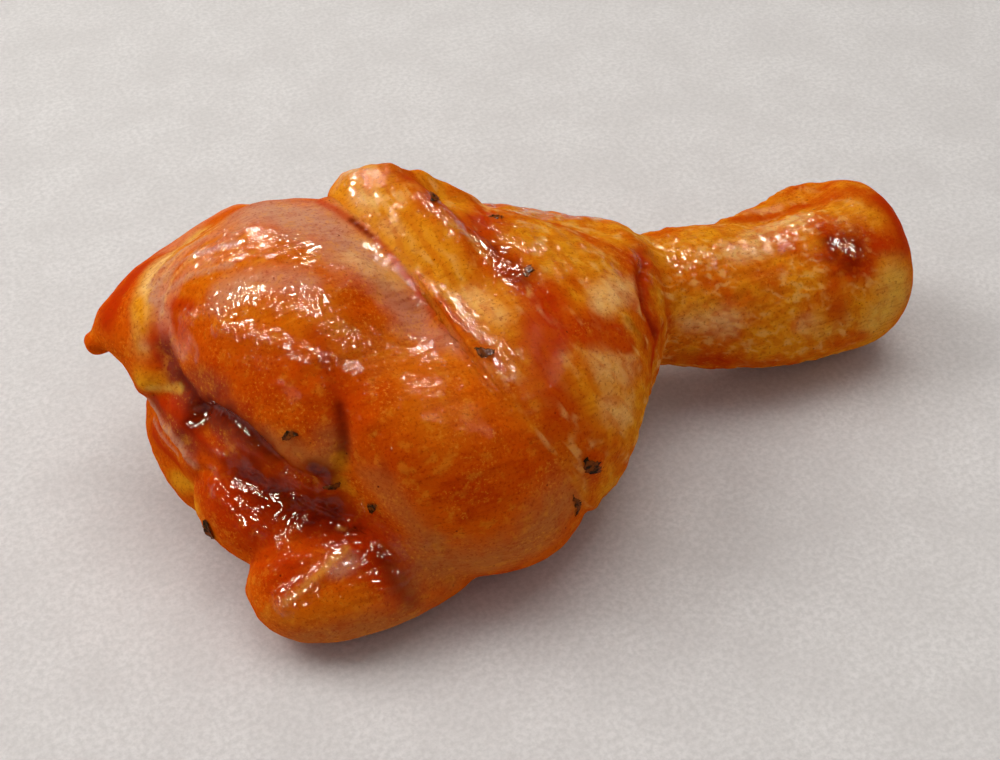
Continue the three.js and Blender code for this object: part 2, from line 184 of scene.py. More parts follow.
# Strokes of colour, each on top of the ones before: a colour, its strength, a reach in millimetres and
# a path of places.
STROKES = [
    # The upper calf.
    ("amber", 0.8, 6.0, [(-0.7, 56), (-0.72, 70), (-0.7, 84)]),
    ("amber", 0.8, 4.5, [(-0.72, 100), (-0.64, 104), (-0.56, 106)]),
    ("amber", 0.7, 3.5, [(-0.66, 72), (-0.6, 80), (-0.52, 86)]),
    ("ember", 0.6, 5.0, [(-0.78, 98), (-0.72, 112), (-0.66, 124), (-0.62, 134)]),
    ("ember", 0.6, 2.5, [(-0.5, 104), (-0.5, 114), (-0.54, 120)]),
    ("mauve", 0.9, 5.4, [(-0.57, 60), (-0.51, 67), (-0.455, 76), (-0.42, 86)]),
    ("mauve", 0.65, 2.2, [(-0.73, 84), (-0.67, 88), (-0.62, 92), (-0.58, 95)]),
    ("red", 0.7, 1.6, [(-0.83, 68), (-0.815, 76)]),
    ("tan", 0.75, 2.4, [(-0.74, 139), (-0.69, 147), (-0.65, 149), (-0.63, 143)]),
    # Painted shade in the crease under the upper calf.
    ("purple", 0.6, 2.0, [(-0.84, 82), (-0.815, 96), (-0.79, 108)]),
    # The joint and its membranes.
    ("ember", 0.9, 3.0, [(-0.96, 36), (-0.92, 39), (-0.88, 40), (-0.82, 38), (-0.77, 36)]),
    ("red", 1.0, 2.3, [(-0.96, 37), (-0.93, 39), (-0.88, 40), (-0.83, 38)]),
    ("amber", 0.8, 1.8, [(-0.99, 60), (-0.97, 60)]),
    ("pink", 0.7, 1.4, [(-0.8, 46), (-0.76, 44), (-0.7, 41)]),
    ("straw", 0.7, 2.2, [(-0.7, 42), (-0.77, 46), (-0.81, 48), (-0.84, 51), (-0.86, 54), (-0.88, 58)]),
    ("cream", 0.9, 1.0, [(-0.77, 46), (-0.81, 48), (-0.84, 51), (-0.86, 54), (-0.88, 58)]),
    ("gold", 1.0, 1.3, [(-0.865, 52), (-0.875, 57), (-0.885, 62)]),
    ("mauve", 0.7, 1.5, [(-0.8, 55), (-0.825, 60), (-0.838, 65)]),
    ("pink", 0.7, 1.0, [(-0.83, 57), (-0.79, 55), (-0.74, 56), (-0.68, 60)]),
    ("cream", 0.5, 0.5, [(-0.825, 54), (-0.78, 53), (-0.73, 53), (-0.67, 56)]),
    ("pink", 0.6, 1.0, [(-0.82, 64), (-0.77, 64), (-0.72, 70)]),
    ("cream", 0.5, 0.5, [(-0.83, 62), (-0.79, 60), (-0.74, 63)]),
    ("mauve", 0.8, 0.6, [(-0.84, 56), (-0.81, 54), (-0.77, 58), (-0.72, 64), (-0.66, 71)]),
    ("mauve", 0.8, 0.6, [(-0.83, 52), (-0.8, 51), (-0.75, 52), (-0.7, 57)]),
    ("mauve", 0.7, 0.6, [(-0.83, 58), (-0.79, 63), (-0.75, 70), (-0.69, 77)]),
    ("cream", 0.7, 0.6, [(-0.79, 48), (-0.74, 46), (-0.68, 51)]),
    ("red", 0.9, 1.1, [(-0.81, 66), (-0.8, 70), (-0.79, 75)]),
    ("mauve", 0.9, 0.6, [(-0.82, 60), (-0.84, 64), (-0.85, 68), (-0.85, 73)]),
    ("pink", 0.8, 0.8, [(-0.83, 66), (-0.835, 72), (-0.83, 79)]),
    ("pink", 0.6, 2.0, [(-0.75, 36), (-0.65, 36), (-0.55, 40), (-0.46, 46)]),
    # Painted shadow in the hollow below the membranes.
    ("purple", 0.85, 1.7, [(-0.845, 67), (-0.85, 74), (-0.84, 84), (-0.825, 96)]),
    # Below the upper calf.
    ("red", 0.9, 2.6, [(-0.86, 62), (-0.85, 92), (-0.83, 118), (-0.81, 132)]),
    ("orange", 0.7, 1.2, [(-0.84, 100), (-0.825, 122), (-0.805, 140)]),
    # Purple and deep here are painted shade in the crease below the upper calf and at the foot of the
    # joint.
    ("purple", 0.9, 4.0, [(-0.84, 92), (-0.81, 112), (-0.78, 134)]),
    ("purple", 0.9, 1.6, [(END, 7, 36), (END, 4, 33), (END, 0, 32), (END, -2, 30)]),
    ("deep", 0.7, 1.1, [(END, 3, 33), (END, 0, 32), (END, -2, 30)]),
    ("gold", 1.0, 1.8, [(END, 9, 30), (END, 7, 30)]),
    ("straw", 0.7, 0.7, [(END, 8, 29), (END, 5, 30), (END, 3, 31)]),
    ("red", 0.9, 1.8, [(END, 6, 27), (END, 1, 28), (END, -3, 27), (END, -7, 26)]),
    ("orange", 0.8, 0.8, [(END, -1, 29), (END, -4, 28), (END, -6, 27)]),
    # Painted shade in the groove between the joint's strands.
    ("purple", 0.7, 1.4, [(END, 8, 25), (END, 3, 25), (END, -2, 24)]),
    ("mauve", 0.9, 0.8, [(END, 10, 24), (END, 5, 23), (END, 2, 24), (END, -3, 22)]),
    ("mauve", 0.7, 0.5, [(END, 9, 21), (END, 5, 21), (END, 1, 21)]),
    ("red", 0.9, 1.6, [(END, 9, 19), (END, 6, 18), (END, 2, 18)]),
    ("gold", 1.0, 1.8, [(END, 4, 13), (END, 0, 14), (END, -5, 16)]),
    ("ember", 0.9, 2.6, [(END, -3, 19), (END, -9, 20), (END, -11, 18)]),
    ("red", 0.9, 3.4, [(-0.82, 160), (-0.835, 176), (-0.81, 188), (-0.77, 191)]),
    ("orange", 0.7, 2.2, [(-0.83, 150), (-0.8, 158), (-0.77, 164)]),
    # Painted shade along the crease and in the hole at the end of the furrow.
    ("deep", 0.9, 2.2, [(-0.83, 98), (-0.8, 118), (-0.77, 132), (-0.745, 145), (-0.72, 154), (-0.68, 161)]),
    ("orange", 0.8, 1.0, [(-0.73, 154), (-0.7, 160), (-0.66, 161)]),
    ("deep", 1.0, 1.8, [(-0.675, 153), (-0.66, 157), (-0.65, 160)]),
    ("red", 1.0, 5.4, [(-0.79, 164), (-0.74, 172), (-0.66, 182), (-0.6, 187)]),
    ("deep", 0.9, 3.4, [(-0.77, 156), (-0.74, 167), (-0.69, 176), (-0.63, 179)]),
    ("red", 0.95, 3.0, [(-0.59, 185), (-0.56, 192), (-0.56, 200)]),
    ("deep", 0.7, 1.6, [(-0.58, 189), (-0.555, 196), (-0.545, 200)]),
    # The flap.
    ("tan", 0.85, 4.4, [(-0.77, 207), (-0.67, 204), (-0.56, 206)]),
    ("amber", 0.7, 2.4, [(-0.8, 200), (-0.74, 196), (-0.66, 194)]),
    # Grey mauve beside the crest: a painted highlight.
    ("mauve", 0.7, 1.2, [(-0.68, 189), (-0.645, 188)]),
    ("ember", 0.7, 2.0, [(-0.83, 197), (-0.78, 193)]),
    # A pale line along the crest: a painted highlight.
    ("straw", 0.5, 0.6, [(-0.79, 196), (-0.74, 191), (-0.68, 187), (-0.64, 186)]),
    # The front calf.
    ("amber", 0.7, 4.0, [(-0.56, 122), (-0.48, 124), (-0.4, 128), (-0.34, 134)]),
    ("ember", 0.7, 4.5, [(-0.57, 130), (-0.54, 142), (-0.53, 152)]),
    ("amber", 0.6, 5.0, [(-0.46, 142), (-0.4, 150)]),
    ("ember", 0.5, 6.0, [(-0.36, 160), (-0.28, 162)]),
    ("tan", 0.8, 5.0, [(-0.48, 190), (-0.4, 192), (-0.3, 188), (-0.22, 180)]),
    ("tan", 0.5, 2.4, [(-0.58, 158), (-0.54, 170), (-0.5, 180)]),
    ("cream", 0.5, 1.8, [(-0.46, 88), (-0.42, 94), (-0.385, 99)]),
    ("mauve", 0.6, 2.6, [(-0.405, 105), (-0.375, 109)]),
    # Pale mauve here is partly bare muscle, partly a painted grey highlight.
    ("mauve", 0.55, 2.2, [(-0.41, 114), (-0.36, 120), (-0.32, 126)]),
    ("red", 0.6, 1.4, [(-0.602, 112), (-0.6, 120), (-0.6, 132), (-0.605, 142)]),
    # Painted shade in the furrow.
    ("deep", 0.7, 0.9, [(-0.602, 134), (-0.61, 146), (-0.63, 155)]),
    ("gold", 0.6, 1.0, [(-0.628, 151), (-0.62, 155)]),
    ("gold", 0.5, 1.0, [(-0.625, 160), (-0.61, 166)]),
    # The skin at the rim.
    ("gold", 0.9, 4.5, [(-0.37, 58), (-0.36, 70), (-0.345, 82)]),
    ("cream", 0.8, 1.6, [(-0.37, 66), (-0.36, 70)]),
    ("cream", 0.6, 1.3, [(-0.35, 79), (-0.345, 82)]),
    ("red", 0.7, 2.4, [(-0.27, 56), (-0.25, 64)]),
    ("gold", 0.85, 4.0, [(-0.34, 90), (-0.3, 100), (-0.27, 110), (-0.24, 120), (-0.21, 130)]),
    ("cream", 0.6, 1.7, [(-0.26, 112), (-0.23, 122)]),
    ("amber", 0.7, 3.0, [(-0.29, 128), (-0.27, 140), (-0.25, 150)]),
    ("red", 0.75, 0.9, [(-0.45, 60), (-0.415, 70), (-0.385, 80), (-0.37, 90), (-0.35, 102)]),
    ("ember", 0.6, 0.9, [(-0.34, 106), (-0.32, 118), (-0.29, 132), (-0.26, 146), (-0.22, 160)]),
    # Painted shade in the crease beside the fold.
    ("deep", 0.8, 0.6, [(-0.41, 71), (-0.39, 78)]),
    # The red patch and the streaks below it.
    ("red", 0.9, 3.4, [(-0.15, 79), (-0.16, 90), (-0.155, 100), (-0.145, 112), (-0.12, 118)]),
    ("red", 0.8, 2.4, [(-0.25, 66), (-0.22, 76), (-0.19, 88)]),
    ("deep", 0.6, 2.0, [(-0.16, 96), (-0.14, 112)]),
    ("red", 0.95, 2.8, [(-0.12, 122), (-0.12, 133), (-0.05, 136), (0.01, 138)]),
    ("red", 0.9, 3.4, [(-0.17, 130), (-0.18, 140), (-0.18, 152)]),
    ("red", 0.8, 2.0, [(-0.07, 136), (-0.03, 141), (0.03, 144)]),
    ("ember", 0.8, 3.0, [(-0.16, 158), (-0.12, 170)]),
    # The golden skin behind them.
    ("gold", 0.75, 4.0, [(-0.06, 90), (0.02, 104), (0.08, 114)]),
    ("cream", 0.9, 2.2, [(0.01, 127), (0.05, 124), (0.09, 122)]),
    ("cream", 0.6, 1.4, [(0.12, 120), (0.15, 121)]),
    ("gold", 0.65, 4.5, [(-0.05, 148), (-0.02, 160), (0.02, 166)]),
    ("cream", 0.6, 2.4, [(-0.05, 146), (0.0, 152)]),
    ("cream", 0.6, 2.2, [(-0.06, 159), (-0.02, 164)]),
    ("red", 0.7, 1.6, [(-0.07, 137), (-0.02, 141), (0.04, 145)]),
    # The ankle.
    ("red", 1.0, 2.8, [(0.23, 94), (0.17, 117), (0.145, 134), (0.165, 151), (0.13, 160)]),
    # Deep along the ankle's groove is painted shade.
    ("deep", 0.5, 0.9, [(0.21, 102), (0.16, 119), (0.145, 134), (0.165, 151)]),
    ("red", 0.7, 1.8, [(0.26, 96), (0.25, 125), (0.25, 160)]),
    ("deep", 0.4, 0.8, [(0.06, 136), (0.1, 148)]),
    # The shank.
    ("gold", 0.8, 4.0, [(0.3, 80), (0.42, 86), (0.52, 90)]),
    ("amber", 0.7, 3.2, [(0.3, 112), (0.4, 122), (0.5, 130)]),
    ("cream", 0.8, 1.8, [(0.47, 98), (0.52, 104)]),
    ("cream", 0.7, 2.4, [(0.62, 66), (0.68, 70)]),
    ("cream", 0.6, 1.8, [(0.54, 82), (0.56, 86)]),
    ("cream", 0.75, 2.4, [(0.32, 166), (0.4, 176)]),
    ("gold", 0.7, 2.0, [(0.3, 141), (0.36, 148)]),
    ("gold", 0.7, 2.2, [(0.46, 150), (0.5, 165), (0.5, 184)]),
    ("amber", 0.7, 1.8, [(0.28, 191), (0.36, 200)]),
    ("cream", 0.7, 1.9, [(0.6, 194), (0.62, 198)]),
    ("ember", 0.6, 1.2, [(0.37, 124), (0.39, 128)]),
    ("ember", 0.5, 1.4, [(0.42, 150), (0.46, 156)]),
    ("red", 0.6, 2.0, [(0.3, 225), (0.45, 232), (0.6, 236)]),
    # The knuckle.
    ("ember", 0.75, 2.4, [(0.63, 118), (0.64, 140), (0.66, 165), (0.68, 185)]),
    ("red", 1.0, 5.0, [(0.72, 128), (0.77, 134), (0.74, 148)]),
    ("deep", 0.8, 3.0, [(0.72, 130), (0.76, 134), (0.74, 146)]),
    ("red", 0.8, 2.0, [(0.82, 140), (0.84, 146)]),
    ("gold", 0.85, 2.8, [(0.79, 80), (0.84, 90), (0.87, 108)]),
    ("gold", 0.9, 2.8, [(0.62, 152), (0.58, 160), (0.57, 172)]),
    ("gold", 0.8, 3.4, [(0.64, 204), (0.7, 196), (0.75, 190)]),
    ("straw", 0.5, 1.6, [(0.66, 206), (0.7, 200)]),
    ("gold", 0.7, 1.8, [(0.66, 108), (0.66, 118)]),
    ("red", 0.95, 3.6, [(0.91, 88), (0.92, 120), (0.9, 150)]),
    ("straw", 0.75, 3.4, [(0.84, 180), (0.86, 195), (0.8, 207)]),
    ("red", 0.7, 2.0, [(0.68, 188), (0.69, 196)]),
    ("red", 0.8, 1.6, [(0.58, 30), (0.66, 36), (0.74, 44)]),
    ("pink", 0.7, 1.0, [(0.62, 24), (0.7, 32)]),
    ("red", 0.7, 2.6, [(0.78, 52), (0.86, 62)]),
    # The back and the underside.
    ("gold", 0.7, 5.0, [(-0.22, 24), (-0.05, 12), (0.1, 20)]),
    ("cream", 0.5, 3.0, [(0.0, -4), (0.12, -10)]),
    ("red", 0.7, 4.5, [(-0.12, -24), (0.02, -34), (0.06, 40)]),
    ("gold", 0.7, 4.0, [(0.4, 10), (0.52, 0), (0.66, -8)]),
    ("cream", 0.6, 2.6, [(0.44, -20), (0.52, -26)]),
    ("red", 0.7, 3.0, [(0.72, -20), (0.84, -6), (0.9, 12)]),
    ("mauve", 0.7, 5.0, [(-0.62, 22), (-0.52, 4), (-0.5, -18)]),
    ("tan", 0.7, 5.0, [(-0.8, 4), (-0.7, -24), (-0.5, -40)]),
    ("red", 0.6, 2.0, [(-0.36, 10), (-0.34, -14), (-0.3, -30)]),
    ("tan", 0.6, 9.0, [(-0.6, -70), (-0.2, -80), (0.0, -70)]),
]

# Where the film is so uneven that it glints: a strength, a reach in millimetres and a path of places.
GLINTS = [
    (0.8, 3.2, [(-0.7, 66), (-0.64, 74), (-0.56, 82)]),
    (0.8, 2.4, [(-0.8, 76), (-0.74, 88), (-0.66, 96), (-0.58, 102)]),
    (0.6, 1.8, [(-0.56, 111), (-0.53, 116)]),
    (0.5, 1.2, [(-0.6, 121), (-0.55, 124)]),
    (0.7, 1.5, [(-0.45, 134), (-0.42, 137)]),
    (0.35, 3.0, [(-0.48, 116), (-0.41, 122), (-0.35, 130), (-0.3, 138)]),
    (0.6, 2.0, [(-0.4, 84), (-0.36, 96), (-0.32, 110), (-0.28, 124), (-0.25, 138)]),
    (0.35, 4.0, [(-0.36, 58), (-0.35, 75)]),
    (0.8, 2.6, [(-0.24, 78), (-0.18, 96), (-0.15, 108)]),
    (0.32, 6.0, [(-0.1, 84), (0.0, 100), (0.08, 112)]),
    (0.6, 2.0, [(0.2, 96), (0.21, 110)]),
    (0.32, 5.0, [(0.3, 80), (0.5, 88), (0.7, 80)]),
    (0.4, 2.6, [(0.74, 128), (0.77, 136)]),
    (0.4, 7.0, [(-0.8, 160), (-0.74, 172), (-0.66, 182), (-0.58, 190)]),
    (0.7, 2.2, [(-0.79, 196), (-0.74, 191), (-0.68, 188)]),
    (0.8, 1.6, [(-0.76, 92), (-0.7, 104), (-0.65, 113), (-0.61, 119)]),
    (0.8, 2.4, [(-0.83, 74), (-0.82, 82)]),
    (0.6, 7.0, [(-0.3, 30), (0.0, 40), (0.2, 30)]),
]

# Herb flakes: along, around, length in millimetres, and turn on the surface in degrees from the
# drumstick's length. They lie on the bumps that the solid has for them.
FLAKES = [
    (-0.23, 59, 4.0, 20),
    (-0.24, 78, 3.0, 60),
    (-0.1, 77, 2.5, 10),
    (-0.12, 111, 3.0, 50),
    (-0.3, 133, 3.0, 150),
    (-0.13, 173, 4.6, 120),
    (-0.17, 184, 4.6, 95),
    (-0.88, 211, 4.0, 80),
    (-0.65, 163, 2.5, 30),
    (-0.71, 140, 2.5, 0),
    (-0.59, 171, 2.5, 70),
    (-0.45, 25, 3.4, 40),
    (-0.1, 5, 3.0, 130),
    (0.2, -20, 2.6, 80),
    (-0.7, 10, 3.0, 110),
    (-0.3, -25, 3.6, 15),
]
FLAKE_SLENDER = 0.45  # a flake's width over its length

# The flakes' places were measured before the drumstick's box was centred, which moved it by this much.
CENTRING = np.array([0.34, 0.9, 0.0])


# Noise ------------------------------------------------------------------------------------------------


class Noise:
    """Seeded gradient noise over points in millimetres, from about -1 to 1."""

    def __init__(self, seed):
        rng = np.random.default_rng(seed)
        self.shuffle = rng.permutation(256)
        directions = rng.normal(size=(256, 3))
        self.slopes = directions / np.linalg.norm(directions, axis=1, keepdims=True)

    def corner(self, cell, offset):
        h = self.shuffle[cell[:, 0] & 255]
        h = self.shuffle[(h + cell[:, 1]) & 255]
        h = self.shuffle[(h + cell[:, 2]) & 255]
        return (self.slopes[h] * offset).sum(1)

    def __call__(self, points, size):
        """size is the length of one wave, or three of them for stretched noise."""
        scaled = points / np.asarray(size, float)
        cell = np.floor(scaled).astype(int)
        local = scaled - cell
        ease = local * local * local * (local * (local * 6 - 15) + 10)
        total = np.zeros(len(points))
        for i in (0, 1):
            for j in (0, 1):
                for k in (0, 1):
                    step = np.array([i, j, k])
                    share = np.abs(1 - step - ease).prod(1)
                    total += share * self.corner(cell + step, local - step)
        return total * 1.7  # which brings it to about -1 to 1

    def rough(self, points, size, octaves=3):
        """Several sizes of the noise on top of each other, each read at another place."""
        size = np.asarray(size, float)
        layers = [self(points + 37.0 * i, size / 2**i) / 2**i for i in range(octaves)]
        return sum(layers) / (2 - 2 ** (1 - octaves))


def smooth(low, high, value):
    """0 below low, 1 above high, and eased between them."""
    t = np.clip((value - low) / (high - low), 0, 1)
    return t * t * (3 - 2 * t)


# The fine surface -------------------------------------------------------------------------------------


class Surface:
    """A mesh as arrays, in millimetres."""

    def __init__(self, mesh):
        self.mesh = mesh
        self.points = np.empty(len(mesh.vertices) * 3)
        mesh.vertices.foreach_get("co", self.points)
        self.points = self.points.reshape(-1, 3) / MM
        edges = np.empty(len(mesh.edges) * 2, int)
        mesh.edges.foreach_get("vertices", edges)
        self.a, self.b = edges.reshape(-1, 2).T
        self.count = len(self.points)
        meetings = np.bincount(self.a, minlength=self.count) + np.bincount(self.b, minlength=self.count)
        self.neighbours = np.maximum(meetings, 1)

    def average(self, values):
        """Each vertex's neighbours' mean."""
        if values.ndim == 2:
            return np.stack([self.average(column) for column in values.T], axis=1)
        total = np.bincount(self.a, values[self.b], self.count)
        total += np.bincount(self.b, values[self.a], self.count)
        return total / self.neighbours

    def blur(self, values, rounds):
        for _ in range(rounds):
            values = 0.5 * values + 0.5 * self.average(values)
        return values

    def relaxed(self, rounds):
        """The points smoothed without shrinking: each round draws them together and lets them out."""
        points = self.points
        for _ in range(rounds):
            for share in (0.6, -0.62):
                points = points + share * (self.average(points) - points)
        return points

    def store(self):
        self.mesh.vertices.foreach_set("co", (self.points * MM).ravel())
        self.mesh.update()

    def normals(self):
        self.store()
        normals = np.empty(self.count * 3)
        self.mesh.vertex_normals.foreach_get("vector", normals)
        return normals.reshape(-1, 3)

    def raise_by(self, height):
        self.points = self.points + self.normals() * height[:, None]

    def attribute(self, name, values):
        """Stores a number, or a colour of three numbers, for each vertex."""
        if values.ndim == 1:
            layer = self.mesh.attributes.new(name, "FLOAT", "POINT")
            layer.data.foreach_set("value", values.astype(np.float32))
        else:
            layer = self.mesh.attributes.new(name, "FLOAT_COLOR", "POINT")
            opaque = np.column_stack([values, np.ones(self.count)])
            layer.data.foreach_set("color", opaque.astype(np.float32).ravel())


def remeshed(node, name):
    """A new object with the node's form on an even, fine grid."""
    piece = bpy.data.objects.new(name, node.data.copy())
    scene.collection.objects.link(piece)
    grid = piece.modifiers.new("grid", "REMESH")
    grid.mode = "VOXEL"
    grid.voxel_size = FINE * MM
    grid.use_smooth_shade = True
    evaluated = piece.evaluated_get(bpy.context.evaluated_depsgraph_get())
    mesh = bpy.data.meshes.new_from_object(evaluated)
    piece.modifiers.clear()
    piece.data = mesh
    return piece


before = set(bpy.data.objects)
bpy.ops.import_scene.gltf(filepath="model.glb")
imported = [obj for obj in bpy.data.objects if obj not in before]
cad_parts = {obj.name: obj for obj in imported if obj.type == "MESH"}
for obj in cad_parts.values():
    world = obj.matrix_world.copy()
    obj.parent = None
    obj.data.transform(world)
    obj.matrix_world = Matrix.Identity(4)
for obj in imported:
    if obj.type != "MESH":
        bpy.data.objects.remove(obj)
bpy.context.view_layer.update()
drumstick = remeshed(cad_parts["drumstick"], "drumstick_flesh")
surface = Surface(drumstick.data)

# Facets go and creases stay: only what stands out from the smoothed form by more than a facet returns.
raw = surface.points
surface.points = surface.relaxed(RELAX_ROUNDS)
detail = surface.blur(raw - surface.points, 2)
depth = np.linalg.norm(detail, axis=1)
surface.points = surface.points + detail * smooth(FACET, CREASE, depth)[:, None]
surface.points = surface.blur(surface.points, 2)

bare_form = BVHTree.FromPolygons(
    [Vector(p) for p in surface.points], [tuple(f.vertices) for f in drumstick.data.polygons]
)


def ray_to(place):
    """The surface point and normal at a place."""
    if place[0] == END:
        start = Vector((-RAY_REACH, place[1], place[2]))
        inwards = Vector((1, 0, 0))
    else:
        angle = math.radians(place[1])
        inwards = -Vector((0, math.cos(angle), math.sin(angle)))
        start = Vector((place[0] * HALF_LENGTH, 0, AXIS_HEIGHT)) - inwards * RAY_REACH
    point, normal, _, _ = bare_form.ray_cast(start, inwards)
    return point, normal


def path_points(places):
    """Points along a path over the surface."""
    points = []
    for first, second in zip(places, places[1:]):
        ends = [ray_to(place)[0] for place in (first, second)]
        if None in ends:
            continue
        count = max(1, int((ends[1] - ends[0]).length / PATH_STEP))
        for i in range(count + 1):
            t = i / count
            between = [a if a == END else a + (b - a) * t for a, b in zip(first, second)]
            point, _ = ray_to(between)
            if point is not None:
                points.append(np.array(point))
    return np.array(points)


def distance(places):
    """Each vertex's distance from a path over the surface."""
    nearest = np.full(surface.count, np.inf)
    for point in path_points(places):
        nearest = np.minimum(nearest, ((P - point) ** 2).sum(1))
    return np.sqrt(nearest)


P = surface.points.copy()  # the surface before its relief, which all places and noise are read on
coarse = Noise(3)
fine = Noise(7)
rim_distance = ((P[:, 0] - RIM_X) + RIM_SLOPE * (P[:, 2] - AXIS_HEIGHT)) / math.hypot(1, RIM_SLOPE)
rim_wander = coarse.rough(P, 9.0)
skin = smooth(-0.5, 0.7, rim_distance + RIM_WANDER * rim_wander)
# An added number reads the same noise elsewhere, so that no two uses of it look alike.
uneven = coarse.rough(P + 90, 4.0)

# Shallower valleys: the hollow part of them is raised towards the blurred form.
filled = np.zeros(surface.count)
for reach, places in FILLED:
    filled = np.maximum(filled, 1 - smooth(0.5 * reach, reach, distance(places)))
for _ in range(FILL_ROUNDS):
    blurred = surface.blur(surface.points, HOLLOW_BLUR)
    normals = surface.normals()
    hollow = np.maximum(0, ((blurred - surface.points) * normals).sum(1))
    surface.points = surface.points + normals * (hollow * filled)[:, None]
surface.points = surface.blur(surface.points, 2)

# Ridges and grooves.
height = np.zeros(surface.count)
for width, rise, places in RIDGES:
    height += rise * np.exp(-((distance(places) / width) ** 2))
for width, rise, places in CURLS:
    height += rise * np.exp(-(((distance(places) + 0.8 * fine(P + 50, 1.8)) / width) ** 2))
surface.raise_by(height)

# Colour: uneven orange on the muscle and amber on the skin, and the strokes on top.


def srgb(red, green, blue):
    """A colour from 0-255 screen values."""
    linear = [
        c / 12.92 if c <= 0.04045 else ((c + 0.055) / 1.055) ** 2.4
        for c in (red / 255, green / 255, blue / 255)
    ]
    return (*linear, 1.0)


def paint(name):
    """A named colour for the shader."""
    return srgb(*COLOURS[name])


def tinted(colour, name, share):
    """The colour with so much of a named one laid over it."""
    over = np.array(paint(name)[:3])
    return colour + share[:, None] * (over - colour)


patches = coarse.rough(P + 200, 7.0)
mottle = fine.rough(P + 400, 2.2)
colour = np.zeros((surface.count, 3))
colour = tinted(colour, "orange", np.ones(surface.count))
colour = tinted(colour, "amber", skin * 0.8)
colour = tinted(colour, "ember", smooth(0.0, 0.5, patches))
colour = tinted(colour, "gold", skin * 0.8 * smooth(-0.15, 0.4, -patches + 0.3 * mottle))
thick = np.zeros(surface.count)
for name, strength, reach, places in STROKES:
    gap = distance(places) + reach * (0.35 * uneven + 0.3 * mottle)
    share = strength * (1 - smooth(0.1 * reach, 1.7 * reach, gap))
    colour = tinted(colour, name, share)
    if name in THICK:
        thick = np.maximum(thick * (1 - share), THICK[name] * share)
    else:
        thick = thick * (1 - share)

# Coordinates over the skin: round the drumstick and away from the rim.
turn = np.arctan2(P[:, 2] - AXIS_HEIGHT, P[:, 1])
turn = np.where(turn < -math.pi / 2, turn + 2 * math.pi, turn)
radius = np.hypot(P[:, 2] - AXIS_HEIGHT, P[:, 1])
around_mm = turn * AXIS_REACH
over_skin = np.stack([around_mm, rim_distance, 0.25 * radius], axis=1)

# Relief: muscle fibres, rows of pores, wrinkles and slight unevenness. The rows of pores end before the
# knuckle's face.
rowed = skin * (1 - smooth(*PORES_FADE, P[:, 0]))
height = UNEVEN_RISE * coarse.rough(P, 11.0)
height += (1 - skin) * FIBRE_RISE * fine.rough(P, (7.0, 1.8, 1.8))
pores = fine.rough(over_skin, (4.2, 1.7, 8.0), 2)
height += rowed * PORE_RISE * pores
wrinkles = fine.rough(over_skin + 300, (7.0, 1.6, 8.0), 2)
ankle = np.exp(-(((P[:, 0] - ANKLE_X) / ANKLE_HALF_WIDTH) ** 2))
height += skin * (WRINKLE_RISE + ANKLE_WRINKLE_RISE * ankle) * wrinkles
edge_rise, edge_width = RIM_EDGE
height += edge_rise * np.exp(-((rim_distance / edge_width) ** 2))
surface.raise_by(height)
surface.points[:, 2] = np.maximum(surface.points[:, 2], 0.0)

# What the material reads.
glints = np.full(surface.count, 0.05)
for strength, reach, places in GLINTS:
    gap = distance(places) + 0.4 * reach * uneven
    glints = np.maximum(glints, strength * (1 - smooth(0.2 * reach, 1.6 * reach, gap)))

surface.attribute("rowed", rowed)
surface.attribute("around_mm", around_mm)
surface.attribute("from_rim", rim_distance)
surface.attribute("thick", thick)
surface.attribute("glints", glints)
surface.attribute("tint", colour)
surface.store()


# Materials --------------------------------------------------------------------------------------------


class Tree:
    """Adds nodes to a new material and links them."""

    def __init__(self, name):
        self.material = bpy.data.materials.new(name)
        self.material.use_nodes = True
        self.nodes = self.material.node_tree.nodes
        self.links = self.material.node_tree.links
        self.nodes.clear()

    def add(self, kind, inputs=None, **settings):
        node = self.nodes.new(kind)
        for key, value in settings.items():
            setattr(node, key, value)
        for key, value in (inputs or {}).items():
            self.plug(node.inputs[key], value)
        return node

    def plug(self, socket, value):
        if isinstance(value, bpy.types.NodeSocket):
            self.links.new(value, socket)
        else:
            socket.default_value = value

    def math(self, operation, a, b=0.0):
        return self.add("ShaderNodeMath", {0: a, 1: b}, operation=operation).outputs[0]

    def between(self, value, low, high, out_low=0.0, out_high=1.0):
        """value eased from low..high to out_low..out_high."""
        inputs = {
            "Value": value,
            "From Min": low,
            "From Max": high,
            "To Min": out_low,
            "To Max": out_high,
        }
        node = self.add("ShaderNodeMapRange", inputs, interpolation_type="SMOOTHSTEP")
        return node.outputs["Result"]

    def mix(self, share, a, b):
        """a with so much of b laid over it."""
        node = self.add("ShaderNodeMix", data_type="RGBA")
        self.plug(node.inputs[0], share)
        self.plug(node.inputs[6], a)
        self.plug(node.inputs[7], b)
        return node.outputs[2]

    def read(self, name):
        return self.add("ShaderNodeAttribute", attribute_name=name).outputs["Fac"]

    def millimetres(self, stretch=(1, 1, 1), turn=(0, 0, 0)):
        """Object coordinates in millimetres, divided by stretch along each turned axis."""
        where = self.add("ShaderNodeTexCoord").outputs["Object"]
        scale = tuple(1 / (MM * s) for s in stretch)
        node = self.add("ShaderNodeMapping", {"Vector": where, "Rotation": turn, "Scale": scale})
        return node.outputs[0]

    def noise(self, vector, size, detail=2.0, roughness=0.5, distortion=0.0):
        inputs = {
            "Vector": vector,
            "Scale": 1 / size,
            "Detail": detail,
            "Roughness": roughness,
            "Distortion": distortion,
        }
        return self.add("ShaderNodeTexNoise", inputs).outputs[0]

    def finish(self, shader):
        self.add("ShaderNodeOutputMaterial", {"Surface": shader})
        return self.material


